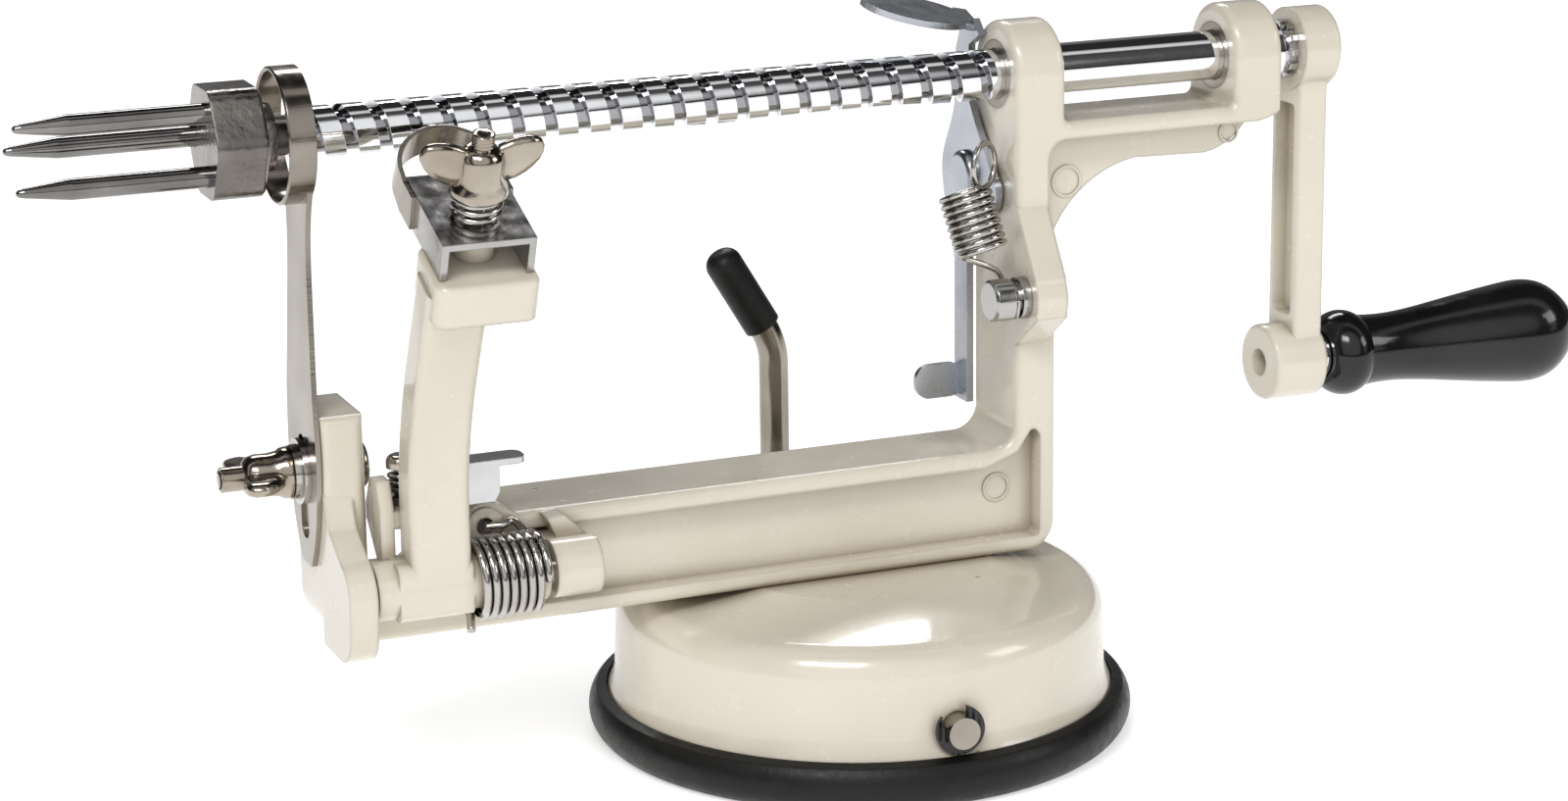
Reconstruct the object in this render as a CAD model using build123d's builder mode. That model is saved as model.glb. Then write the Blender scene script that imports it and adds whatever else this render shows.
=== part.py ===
from build123d import *
from math import cos, pi, radians, sin
import os

# Apple peeler corer: a suction base, a cast frame, a screw-fed fork, a corer ring and a sprung peeling arm.
#
# Millimetres, +Z up. The origin is the centre of the rubber pad's flat underside. +X runs along the screw
# shaft from the fork to the crank, and -Y faces the person who turns the crank.

# ---- screw shaft ----
SHAFT_Z = 128.0
SHAFT_R = 4.9
THREAD_PITCH = 6.35
THREAD_DEPTH = 1.25
GROOVE_WIDTH = 2.35
THREAD_START = -107.0
THREAD_END = 27.0
SHAFT_LEFT_END = -124.0
SHAFT_RIGHT_END = 101.0
RUNNING_GAP = 0.06

# ---- frame casting ----
FRAME_HALF_DEPTH = 10.0
WEB_HALF_DEPTH = 5.5
CASTING_EDGE_R = 1.6
UPRIGHT_X = -110.8
UPRIGHT_WIDTH = 8.2
UPRIGHT_TOP = 77.0
BEAM_BOTTOM = 33.0
BEAM_TOP = 54.6
BEAM_LEFT_TOP = 43.5
FLANGE = 3.2
POST_X = 30.0
POST_WIDTH = 8.7
SHELF_TOP = 119.0
SHELF_THICKNESS = 3.2
LUG_WIDTH = 10.6
POCKET_RIGHT = 35.2
UPRIGHT_BACK_CUT = 2.5
FOOT_WIDTH = 5.4
LUG_CENTRE_Z = 128.4
RIGHT_LUG_X = 78.0
ARM_WEB_HALF_DEPTH = 4.2
BUSH_BARREL_R = 6.0
BUSH_FLANGE_R = 6.7
BUSH_FLANGE_THICKNESS = 0.95

# ---- suction base ----
PAD_R = 54.0
PAD_RIM_HEIGHT = 9.0
PAD_THICKNESS = 2.5
SHELL_FOOT_R = 50.4
SHELL_WALL_R = 48.7
SHELL_BOTTOM = 6.0
SHELL_TOP = BEAM_BOTTOM
SHELL_THICKNESS = 1.6
CAM_ANGLE = 3.3
CAM_X = 1.6
CAM_Z = 14.0
CAM_SHAFT_R = 3.1
CAM_FRONT = -52.8
LEVER_Y = 54.5
LEVER_ELBOW_R = 5.0
LEVER_BEND_Z = 60.0
LEVER_BEND_R = 16.0
LEVER_LEAN = 31.0

# ---- crank and handle ----
CRANK_THROW = 64.6
CRANK_X = 95.0
CRANK_THICKNESS = 6.6
CRANK_HALF_WIDTH = 5.6
CRANK_TOP_BOSS_R = 8.3
CRANK_LOW_BOSS_R = 7.8
CRANK_LOW_BOSS_X = 90.1
HANDLE_Z = SHAFT_Z - CRANK_THROW
HANDLE_X = 104.6
HANDLE_END = 165.0
STUD_R = 2.75

# ---- fork ----
HUB_X = -127.2
HUB_LENGTH = 9.6
HUB_ACROSS_FLATS = 20.0
PRONG_CIRCLE_R = 6.6
PRONG_R = 1.95
PRONG_TIP_X = -161.7
PRONG_CONE = 9.7

# ---- corer ----
CORER_RING_R = 12.6
CORER_WALL = 0.9
CORER_RING_X = -114.6
CORER_RING_LENGTH = 5.0
STRIP_THICKNESS = 1.0
STRIP_WIDTH = 19.4
RING_SHOULDER = 10.5
LATCH_X = -96.0
LATCH_Y = -10.6
LATCH_SCREW_R = 1.5
CORER_BOLT_Z = 65.0
CORER_BOLT_R = 2.4

# ---- peeling arm ----
ARM_PIVOT_Y = -18.4
ARM_PIVOT_Z = 45.8
ARM_HUB_R = 5.5
ARM_PIN_R = 3.0
ARM_TILT = 22.0
HEAD_ORIGIN = (-88.3, -37.8, 109.7)
TORSION_MEAN_R = 7.0
TORSION_WIRE_R = 0.8
TORSION_PITCH = 1.75
TORSION_TURNS = 8
BRACKET_LENGTH = 22.5
BRACKET_HALF_WIDTH = 8.6
BRACKET_HEIGHT = 7.4
BRACKET_SHEET = 1.3
HOOP_REACH = 13.3
HOOP_RISE = 17.5
HOOP_WIDTH = 6.6
BLADE_SHEET = 0.8

# ---- release lever ----
LEVER_X = 28.15
LEVER_SHEET = 1.5
LEVER_PIVOT_Y = 9.4
LEVER_PIVOT_Z = 106.5
TOOTH_THICKNESS = 1.0
SPRING_STUD_Y = -13.0
SPRING_STUD_Z = 86.0

END_AT_ORIGIN = (Align.CENTER, Align.CENTER, Align.MIN)


def save(part, label):
    """Label a finished piece and write its STEP file."""
    part.label = label
    export_step(part, f"parts/{label}.step")


def yz_plane(x):
    """Plane across the shaft at x: local x is +Y, local y is +Z, normal +X."""
    return Plane.YZ.offset(x)


def xz_plane(y):
    """Plane along the frame at y: local x is +X, local y is +Z, normal -Y."""
    return Plane(origin=(0, y, 0), x_dir=(1, 0, 0), z_dir=(0, -1, 0))


def rod_x(x0, x1, radius, y, z):
    """Cylinder along X, added to the current part."""
    with Locations((x0, y, z)):
        Cylinder(radius, x1 - x0, rotation=(0, 90, 0), align=END_AT_ORIGIN)


def bore_x(x0, x1, radius, y, z):
    """Cylinder along X, cut from the current part."""
    with Locations((x0, y, z)):
        Cylinder(radius, x1 - x0, rotation=(0, 90, 0), align=END_AT_ORIGIN, mode=Mode.SUBTRACT)


def make_frame_casting():
    """One casting: upright, flanged beam, post, and an arm that carries the two shaft lugs."""
    depth = 2 * FRAME_HALF_DEPTH
    upright_right = UPRIGHT_X + UPRIGHT_WIDTH
    post_right = POST_X + POST_WIDTH
    left_lug_right = POST_X + LUG_WIDTH
    right_lug_right = RIGHT_LUG_X + LUG_WIDTH
    shelf_bottom = SHELF_TOP - SHELF_THICKNESS
    lug_top = LUG_CENTRE_Z + FRAME_HALF_DEPTH
    with BuildPart() as frame_casting:
        # side profile: upright, beam, post, shelf and both lugs
        with BuildSketch(xz_plane(FRAME_HALF_DEPTH)) as profile:
            with BuildLine():
                Polyline((UPRIGHT_X, UPRIGHT_TOP), (UPRIGHT_X, BEAM_BOTTOM + 7))
                JernArc((UPRIGHT_X, BEAM_BOTTOM + 7), (0, -1), 7, 90)
                Line((UPRIGHT_X + 7, BEAM_BOTTOM), (post_right - 6, BEAM_BOTTOM))
                JernArc((post_right - 6, BEAM_BOTTOM), (1, 0), 6, 90)
                Line((post_right, BEAM_BOTTOM + 6), (post_right, 90))
                ThreePointArc((post_right, 90), (37.9, 98), (36.8, 106))
                Line((36.8, 106), (36.8, shelf_bottom - 4))
                RadiusArc((36.8, shelf_bottom - 4), (40.8, shelf_bottom), 4)
                Line((40.8, shelf_bottom), (83, shelf_bottom))
                ThreePointArc(
                    (83, shelf_bottom),
                    (85.2, shelf_bottom + 0.5),
                    (right_lug_right, shelf_bottom + 2),
                )
                Polyline(
                    (right_lug_right, shelf_bottom + 2),
                    (right_lug_right, lug_top),
                    (RIGHT_LUG_X, lug_top),
                    (RIGHT_LUG_X, SHELF_TOP + 1.5),
                )
                RadiusArc((RIGHT_LUG_X, SHELF_TOP + 1.5), (RIGHT_LUG_X - 1.5, SHELF_TOP), 1.5)
                Line((RIGHT_LUG_X - 1.5, SHELF_TOP), (left_lug_right + 1.5, SHELF_TOP))
                RadiusArc((left_lug_right + 1.5, SHELF_TOP), (left_lug_right, SHELF_TOP + 1.5), 1.5)
                Polyline(
                    (left_lug_right, SHELF_TOP + 1.5),
                    (left_lug_right, lug_top),
                    (POST_X, lug_top),
                    (POST_X, BEAM_TOP + 5),
                )
                RadiusArc((POST_X, BEAM_TOP + 5), (POST_X - 5, BEAM_TOP), 5)
                Line((POST_X - 5, BEAM_TOP), (-74, BEAM_TOP))
                Line((-74, BEAM_TOP), (-76.2, 56))
                ThreePointArc((-76.2, 56), (-80.3, 57.6), (-84, 55.5))
                Polyline((-84, 55.5), (-88, 46.5), (-92, BEAM_LEFT_TOP), (upright_right + 3, BEAM_LEFT_TOP))
                RadiusArc((upright_right + 3, BEAM_LEFT_TOP), (upright_right, BEAM_LEFT_TOP + 3), 3)
                Line((upright_right, BEAM_LEFT_TOP + 3), (upright_right, UPRIGHT_TOP))
                Line((upright_right, UPRIGHT_TOP), (UPRIGHT_X, UPRIGHT_TOP))
            make_face()
        extrude(amount=depth)
        # arched tops on the lugs
        for lug_x in (POST_X, RIGHT_LUG_X):
            with BuildSketch(yz_plane(lug_x - 1)):
                with Locations((0, lug_top)):
                    Rectangle(depth + 2, 2 * FRAME_HALF_DEPTH)
                with Locations((0, LUG_CENTRE_Z)):
                    Circle(FRAME_HALF_DEPTH, mode=Mode.SUBTRACT)
            extrude(amount=LUG_WIDTH + 2, mode=Mode.SUBTRACT)
        lug_faces = (POST_X, left_lug_right, RIGHT_LUG_X, right_lug_right)
        arches = [
            edge
            for edge in frame_casting.edges().filter_by(GeomType.CIRCLE)
            if edge.center().Z > LUG_CENTRE_Z and min(abs(edge.center().X - x) for x in lug_faces) < 0.01
        ]
        outline = []
        for edge in frame_casting.edges():
            middle = edge.center()
            on_face = abs(abs(middle.Y) - FRAME_HALF_DEPTH) < 0.01 and edge.bounding_box().size.Y < 0.01
            under_shelf = middle.X > 36.5 and 106 < middle.Z < 117
            at_ear = -86 < middle.X < -74 and middle.Z > BEAM_TOP
            at_arch = edge.length > LUG_WIDTH - 0.5 and abs(middle.Z - LUG_CENTRE_Z) < 0.01
            if on_face and not under_shelf and not at_ear and not at_arch:
                outline.append(edge)
        fillet(outline + arches, CASTING_EDGE_R)
        # recessed web on both faces of the beam, rounding up into the post's foot
        pocket_depth = FRAME_HALF_DEPTH - WEB_HALF_DEPTH
        for face_y in (-WEB_HALF_DEPTH, FRAME_HALF_DEPTH):
            with BuildSketch(xz_plane(face_y)) as pocket:
                with BuildLine():
                    Polyline(
                        (-72.5, BEAM_TOP - FLANGE),
                        (-72.5, BEAM_BOTTOM + FLANGE),
                        (POCKET_RIGHT, BEAM_BOTTOM + FLANGE),
                        (POCKET_RIGHT, BEAM_TOP + 2.4),
                        (POCKET_RIGHT - 1.6, BEAM_TOP + 4.4),
                        (POCKET_RIGHT - 5, BEAM_TOP - 0.6),
                        (POCKET_RIGHT - 12, BEAM_TOP - FLANGE),
                        close=True,
                    )
                make_face()
                fillet(pocket.vertices(), 1)
            extrude(amount=pocket_depth, mode=Mode.SUBTRACT)
        # the upright is shallower than the beam at the back
        with BuildSketch(Plane.XY.offset(BEAM_LEFT_TOP + 5)):
            with Locations((UPRIGHT_X + UPRIGHT_WIDTH / 2, FRAME_HALF_DEPTH)):
                Rectangle(UPRIGHT_WIDTH + 2, 2 * UPRIGHT_BACK_CUT)
        extrude(amount=UPRIGHT_TOP, mode=Mode.SUBTRACT)
        # foot under the upright, reaching forward to hold the arm pin's far end
        with BuildSketch(yz_plane(UPRIGHT_X)) as foot:
            with BuildLine():
                Polyline((-6, 66), (-9.9, 62), (-12.2, 56.5), (-19.5, 52.2))
                ThreePointArc((-19.5, 52.2), (-23.6, 49.2), (-24.6, 44.5))
                Line((-24.6, 44.5), (-24.0, 39))
                ThreePointArc((-24.0, 39), (-21.8, 34.8), (-17.5, BEAM_BOTTOM))
                Polyline((-17.5, BEAM_BOTTOM), (-6, BEAM_BOTTOM), (-6, 66))
            make_face()
            front_corners = [corner for corner in foot.vertices() if corner.X < -7 and 36 < corner.Y < 64]
            fillet(front_corners, 2)
        extrude(amount=FOOT_WIDTH)
        # thin curved web below the shelf
        with BuildSketch(xz_plane(ARM_WEB_HALF_DEPTH)):
            with BuildLine():
                Line((36, 84), (post_right - 0.4, 86))
                ThreePointArc((post_right - 0.4, 86), (44.6, 102.2), (58.5, 109.6))
                Line((58.5, 109.6), (74, 109.2))
                ThreePointArc((74, 109.2), (80.4, 111.8), (84.6, shelf_bottom + 1.4))
                Polyline((84.6, shelf_bottom + 1.4), (36, shelf_bottom + 1.4), (36, 84))
            make_face()
        extrude(amount=2 * ARM_WEB_HALF_DEPTH)
        # ear that carries the spring stud, faired into the post's front corner
        with BuildSketch(yz_plane(POST_X)) as ear:
            with Locations((SPRING_STUD_Y, SPRING_STUD_Z)):
                Circle(6.2)
            with BuildLine():
                Polyline((-8, 104), (-10, 103), (-18.2, 90.2), (-18.8, 82.6), (-10, 76), (-8, 75), close=True)
            make_face()
        extrude(amount=6.5)
        # boss behind the release lever's pivot
        rod_x(POST_X, POST_X + 6.5, 4.2, LEVER_PIVOT_Y, LEVER_PIVOT_Z)
        # boss that holds the peeling arm's pivot pin
        with BuildSketch(yz_plane(-70.6)):
            with Locations((ARM_PIVOT_Y, ARM_PIVOT_Z)):
                Circle(ARM_HUB_R)
            with Locations((-12, ARM_PIVOT_Z)):
                Rectangle(13.2, 9)
        extrude(amount=9)
        # wedge above that boss, a stop for the torsion spring
        with BuildSketch(xz_plane(-FRAME_HALF_DEPTH + 5)):
            with BuildLine():
                Polyline((-69.3, 54.2), (-65.9, 54.4), (-60.8, 49.4), (-60.8, 45), (-65.2, 45), close=True)
            make_face()
        extrude(amount=9)
        # round pad around the torsion spring's hole
        with BuildSketch(xz_plane(-FRAME_HALF_DEPTH + 1)):
            with Locations((-80.3, 53)):
                Circle(3.6)
        extrude(amount=1.6)
        # ejector marks
        for mark_x, mark_z, mark_y, mark_r in (
            (43.4, 106.2, -ARM_WEB_HALF_DEPTH, 3.2),
            (79.5, 113, -ARM_WEB_HALF_DEPTH, 2.2),
            (27.5, 46, -WEB_HALF_DEPTH, 2.9),
        ):
            with BuildSketch(xz_plane(mark_y + 0.1)):
                with Locations((mark_x, mark_z)):
                    Circle(mark_r)
                    Circle(mark_r - 0.45, mode=Mode.SUBTRACT)
            extrude(amount=0.35)
        # holes: bushes, ear for the torsion spring, arm pin, corer bolt, studs, base screws
        bore_x(POST_X - 1, right_lug_right + 1, BUSH_BARREL_R, 0, SHAFT_Z)
        for lug_x in (POST_X, RIGHT_LUG_X):
            bore_x(lug_x - 1, lug_x + BUSH_FLANGE_THICKNESS, BUSH_FLANGE_R, 0, SHAFT_Z)
        with BuildSketch(xz_plane(FRAME_HALF_DEPTH + 3)):
            with Locations((-80.3, 53)):
                Circle(1.7)
        extrude(amount=depth + 6, mode=Mode.SUBTRACT)
        bore_x(-72, -61.6, ARM_PIN_R, ARM_PIVOT_Y, ARM_PIVOT_Z)
        bore_x(UPRIGHT_X + 1.6, UPRIGHT_X + FOOT_WIDTH + 1, ARM_PIN_R, ARM_PIVOT_Y, ARM_PIVOT_Z)
        bore_x(UPRIGHT_X - 1, upright_right + 1, CORER_BOLT_R, 0, CORER_BOLT_Z)
        bore_x(POST_X - 1, POST_X + 5, 2.2, SPRING_STUD_Y, SPRING_STUD_Z)
        bore_x(POST_X - 1, POST_X + 5, 2.2, LEVER_PIVOT_Y, LEVER_PIVOT_Z)
        for screw_x in (-14, 14):
            with BuildSketch(Plane.XY.offset(BEAM_BOTTOM - 1)):
                with Locations((screw_x, 0)):
                    Circle(2.1)
            extrude(amount=13, mode=Mode.SUBTRACT)
    save(frame_casting.part, "frame_casting")


def make_shaft_bushes():
    """Flanged sintered bushes, one in each lug."""
    for name, lug_x in (("left_shaft_bush", POST_X), ("right_shaft_bush", RIGHT_LUG_X)):
        with BuildPart() as bush:
            rod_x(lug_x, lug_x + BUSH_FLANGE_THICKNESS, BUSH_FLANGE_R, 0, SHAFT_Z)
            rod_x(lug_x, lug_x + LUG_WIDTH - 0.4, BUSH_BARREL_R, 0, SHAFT_Z)
            bore_x(lug_x - 3, lug_x + LUG_WIDTH + 1, SHAFT_R + RUNNING_GAP, 0, SHAFT_Z)
        save(bush.part, name)


def make_screw_shaft():
    """Plated shaft: plain at the crank end, with a square right-hand thread towards the fork."""
    # the helix starts above the axis, three quarters of a turn before the release lever's tooth
    tooth_x = LEVER_X + LEVER_SHEET / 2
    turns = round((tooth_x - THREAD_START) / THREAD_PITCH)
    helix_start = tooth_x - (turns + 0.75) * THREAD_PITCH
    helix_centre = Vector(helix_start, 0, SHAFT_Z)
    with BuildPart() as screw_shaft:
        rod_x(THREAD_START - 4, 91.6, SHAFT_R, 0, SHAFT_Z)
        rod_x(SHAFT_LEFT_END, THREAD_START - 4, SHAFT_R - THREAD_DEPTH, 0, SHAFT_Z)
        rod_x(91.6, SHAFT_RIGHT_END, SHAFT_R - 0.9, 0, SHAFT_Z)
        helix = Helix(
            pitch=THREAD_PITCH,
            height=THREAD_END + THREAD_PITCH / 2 - helix_start,
            radius=SHAFT_R - THREAD_DEPTH / 2 + 0.25,
            center=helix_centre,
            direction=(1, 0, 0),
        )
        start = helix @ 0
        with BuildSketch(Plane(origin=start, x_dir=start - helix_centre, z_dir=helix % 0)):
            Rectangle(THREAD_DEPTH + 0.5, GROOVE_WIDTH)
        sweep(path=helix, is_frenet=True, mode=Mode.SUBTRACT)
    save(screw_shaft.part, "screw_shaft")


def make_thrust_collar():
    """Loose ring on the shaft beside the right lug: it travels with the shaft but doesn't turn."""
    with BuildPart() as thrust_collar:
        rod_x(89.2, 91.2, 6.2, 0, SHAFT_Z)
        bore_x(88, 92, SHAFT_R + RUNNING_GAP, 0, SHAFT_Z)
    save(thrust_collar.part, "thrust_collar")


def make_serrated_collar():
    """Serrated ring that locks the crank to the shaft."""
    with BuildPart() as serrated_collar:
        rod_x(91.9, CRANK_X - 0.2, 4.9, 0, SHAFT_Z)
        with BuildSketch(yz_plane(92.9)):
            with Locations((0, SHAFT_Z)):
                with PolarLocations(5.0, 12):
                    Rectangle(1.6, 1.3)
        extrude(amount=CRANK_X - 0.2 - 92.9)
        bore_x(91, 96, SHAFT_R - 0.9, 0, SHAFT_Z)
    save(serrated_collar.part, "serrated_collar")


def make_crank():
    """Cast crank arm with a boss at each end, its pin, and the turned handle on its stud."""
    with BuildPart() as crank_arm:
        middle = (SHAFT_Z + HANDLE_Z) / 2
        with BuildSketch(yz_plane(CRANK_X)):
            with Locations((0, middle)):
                Rectangle(2 * CRANK_HALF_WIDTH, CRANK_THROW)
        extrude(amount=CRANK_THICKNESS)
        long_edges = crank_arm.edges().filter_by(Axis.Z)
        fillet(long_edges, 1.1)
        rod_x(CRANK_X - 0.2, CRANK_X + CRANK_THICKNESS + 1.7, CRANK_TOP_BOSS_R, 0, SHAFT_Z)
        rod_x(CRANK_LOW_BOSS_X, CRANK_X + CRANK_THICKNESS, CRANK_LOW_BOSS_R, 0, HANDLE_Z)
        fillet(crank_arm.faces().sort_by(Axis.X)[-1].edges(), 1.4)
        fillet(crank_arm.faces().sort_by(Axis.X)[0].edges(), 1.0)
        with BuildSketch(yz_plane(CRANK_X)):
            with Locations((0, middle - 0.4)):
                RectangleRounded(2 * CRANK_HALF_WIDTH - 4.2, CRANK_THROW - 21, 1.2)
        extrude(amount=2.6, mode=Mode.SUBTRACT)
        bore_x(CRANK_X - 1, SHAFT_RIGHT_END, SHAFT_R - 0.9, 0, SHAFT_Z)
        bore_x(CRANK_LOW_BOSS_X - 1, CRANK_X + CRANK_THICKNESS + 1, STUD_R, 0, HANDLE_Z)
    save(crank_arm.part, "crank_arm")

    with BuildPart() as handle_stud:
        rod_x(94.5, HANDLE_END - 3, STUD_R, 0, HANDLE_Z)
        rod_x(CRANK_X + CRANK_THICKNESS, CRANK_X + CRANK_THICKNESS + 1.6, STUD_R + 1.3, 0, HANDLE_Z)
    save(handle_stud.part, "handle_stud")

    with BuildPart() as handle_grip:
        with BuildSketch(xz_plane(0)):
            with BuildLine():
                bore_r = STUD_R + RUNNING_GAP
                Line((HANDLE_X, HANDLE_Z + bore_r), (HANDLE_X, HANDLE_Z + 6.2))
                ThreePointArc(
                    (HANDLE_X, HANDLE_Z + 6.2),
                    (HANDLE_X + 3.6, HANDLE_Z + 8.7),
                    (HANDLE_X + 8.4, HANDLE_Z + 7.5),
                )
                Spline(
                    (HANDLE_X + 8.4, HANDLE_Z + 7.5),
                    (HANDLE_X + 14, HANDLE_Z + 7.1),
                    (HANDLE_X + 28, HANDLE_Z + 8.4),
                    (HANDLE_X + 44, HANDLE_Z + 10.5),
                    (HANDLE_X + 53, HANDLE_Z + 9.9),
                    (HANDLE_END - 1.6, HANDLE_Z + 5.2),
                    (HANDLE_END, HANDLE_Z),
                    tangents=[(1, -0.15), (0, -1)],
                )
                Line((HANDLE_END, HANDLE_Z), (HANDLE_END - 2.8, HANDLE_Z))
                Line((HANDLE_END - 2.8, HANDLE_Z), (HANDLE_END - 2.8, HANDLE_Z + bore_r))
                Line((HANDLE_END - 2.8, HANDLE_Z + bore_r), (HANDLE_X, HANDLE_Z + bore_r))
            make_face()
        revolve(axis=Axis((0, 0, HANDLE_Z), (1, 0, 0)))
    save(handle_grip.part, "handle_grip")

    with BuildPart() as handle_washer:
        rod_x(103.4, 104.3, STUD_R + 2.0, 0, HANDLE_Z)
        bore_x(103, 105, STUD_R + RUNNING_GAP, 0, HANDLE_Z)
    save(handle_washer.part, "handle_washer")


def make_fork():
    """Hexagonal hub pinned to the shaft, with three pointed prongs pressed into it."""
    prong_places = [
        (PRONG_CIRCLE_R * cos(radians(angle)), SHAFT_Z + PRONG_CIRCLE_R * sin(radians(angle)))
        for angle in (0, 120, 240)
    ]
    with BuildPart() as fork_hub:
        with BuildSketch(yz_plane(HUB_X)) as hexagon:
            with Locations((0, SHAFT_Z)):
                RegularPolygon(HUB_ACROSS_FLATS / 2, 6, major_radius=False, rotation=0)
            fillet(hexagon.vertices(), 3.6)
        extrude(amount=HUB_LENGTH)
        chamfer(fork_hub.faces().sort_by(Axis.X)[-1].edges(), 0.6)
        rod_x(HUB_X + HUB_LENGTH, HUB_X + HUB_LENGTH + 2.5, 6.2, 0, SHAFT_Z)
        bore_x(SHAFT_LEFT_END, HUB_X + HUB_LENGTH + 4, SHAFT_R - THREAD_DEPTH, 0, SHAFT_Z)
        for y, z in prong_places:
            bore_x(HUB_X - 1, HUB_X + 7, PRONG_R, y, z)
    save(fork_hub.part, "fork_hub")

    with BuildPart() as fork_prongs:
        for y, z in prong_places:
            with BuildSketch(Plane(origin=(0, y, z), x_dir=(1, 0, 0), z_dir=(0, -1, 0))):
                with BuildLine():
                    Line((HUB_X + 7, 0), (HUB_X + 7, PRONG_R))
                    Line((HUB_X + 7, PRONG_R), (PRONG_TIP_X + PRONG_CONE, PRONG_R))
                    Line((PRONG_TIP_X + PRONG_CONE, PRONG_R), (PRONG_TIP_X + 1.4, PRONG_R * 0.46))
                    Polyline(
                        (PRONG_TIP_X + 1.4, PRONG_R * 0.46),
                        (PRONG_TIP_X + 0.5, PRONG_R * 0.36),
                        (PRONG_TIP_X, PRONG_R * 0.18),
                        (PRONG_TIP_X, 0),
                    )
                    Line((PRONG_TIP_X, 0), (HUB_X + 7, 0))
                make_face()
            revolve(axis=Axis((0, y, z), (1, 0, 0)))
    save(fork_prongs.part, "fork_prongs")


def make_corer():
    """Corer ring on a strip that bolts to the upright, with its bolt, washers and wing nut."""
    strip_face = UPRIGHT_X - STRIP_THICKNESS
    with BuildPart() as corer_blade:
        # strip: bent slightly above the upright, flat against it below
        top_x = CORER_RING_X + CORER_RING_LENGTH - STRIP_THICKNESS
        with BuildSketch(xz_plane(STRIP_WIDTH / 2)):
            with BuildLine():
                Polyline(
                    (top_x, SHAFT_Z - 5),
                    (strip_face, UPRIGHT_TOP + 3),
                    (strip_face, 47),
                    (strip_face + STRIP_THICKNESS, 47),
                    (strip_face + STRIP_THICKNESS, UPRIGHT_TOP + 3),
                    (top_x + STRIP_THICKNESS, SHAFT_Z - 5),
                    close=True,
                )
            make_face()
        extrude(amount=STRIP_WIDTH)
        bore_x(-120, -105, CORER_RING_R - CORER_WALL, 0, SHAFT_Z)
        # outline of the strip: waisted sides and a pointed round tip
        with BuildSketch(yz_plane(-120)):
            Rectangle(200, 400)
            with BuildLine():
                Line((-RING_SHOULDER, SHAFT_Z + 20), (-RING_SHOULDER, SHAFT_Z - 6))
                Spline(
                    (-RING_SHOULDER, SHAFT_Z - 6),
                    (-STRIP_WIDTH * 0.33, 110),
                    (-STRIP_WIDTH * 0.35, 100),
                    (-STRIP_WIDTH * 0.43, 84),
                    (-STRIP_WIDTH * 0.49, 66),
                    (-3, 47.2),
                )
                Line((-3, 47.2), (3, 47.2))
                Spline(
                    (3, 47.2),
                    (STRIP_WIDTH * 0.49, 66),
                    (STRIP_WIDTH * 0.43, 84),
                    (STRIP_WIDTH * 0.35, 100),
                    (STRIP_WIDTH * 0.33, 110),
                    (RING_SHOULDER, SHAFT_Z - 6),
                )
                Line((RING_SHOULDER, SHAFT_Z - 6), (RING_SHOULDER, SHAFT_Z + 20))
                Line((RING_SHOULDER, SHAFT_Z + 20), (-RING_SHOULDER, SHAFT_Z + 20))
            make_face(mode=Mode.SUBTRACT)
        extrude(amount=20, mode=Mode.SUBTRACT)
        with BuildSketch(yz_plane(-120)):
            with Locations((0, 62)):
                SlotOverall(20, 2 * CORER_BOLT_R + 0.4, rotation=90)
        extrude(amount=20, mode=Mode.SUBTRACT)
        with BuildSketch(yz_plane(CORER_RING_X)):
            with Locations((0, SHAFT_Z)):
                Circle(CORER_RING_R)
                Circle(CORER_RING_R - CORER_WALL, mode=Mode.SUBTRACT)
        extrude(amount=CORER_RING_LENGTH)
        chamfer(corer_blade.faces().sort_by(Axis.X)[0].edges().filter_by(GeomType.CIRCLE), 0.3)
    save(corer_blade.part, "corer_blade")

    bolt_tail = UPRIGHT_X + UPRIGHT_WIDTH
    with BuildPart() as corer_bolt:
        rod_x(-127.5, bolt_tail, CORER_BOLT_R - 0.05, 0, CORER_BOLT_Z)
        rod_x(bolt_tail + 0.05, bolt_tail + 2.6, 4.6, 0, CORER_BOLT_Z)
        rod_x(bolt_tail - 0.5, bolt_tail + 0.5, CORER_BOLT_R - 0.05, 0, CORER_BOLT_Z)
        fillet(corer_bolt.faces().sort_by(Axis.X)[-1].edges(), 1.2)
    save(corer_bolt.part, "corer_bolt")

    for name, x0, x1, outer in (
        ("corer_flat_washer", strip_face - 1.2, strip_face, 6.2),
        ("corer_spring_washer", strip_face - 2.6, strip_face - 1.2, 5.1),
    ):
        with BuildPart() as washer:
            rod_x(x0, x1, outer, 0, CORER_BOLT_Z)
            bore_x(x0 - 1, x1 + 1, CORER_BOLT_R + 0.2, 0, CORER_BOLT_Z)
        save(washer.part, name)

    nut_plane = Plane(origin=(strip_face - 2.6, 0, CORER_BOLT_Z), x_dir=(0, 1, 0), z_dir=(-1, 0, 0))
    make_wing_nut("corer_wing_nut", nut_plane, 4.9, 5.4, CORER_BOLT_R + 0.03, 9)


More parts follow.
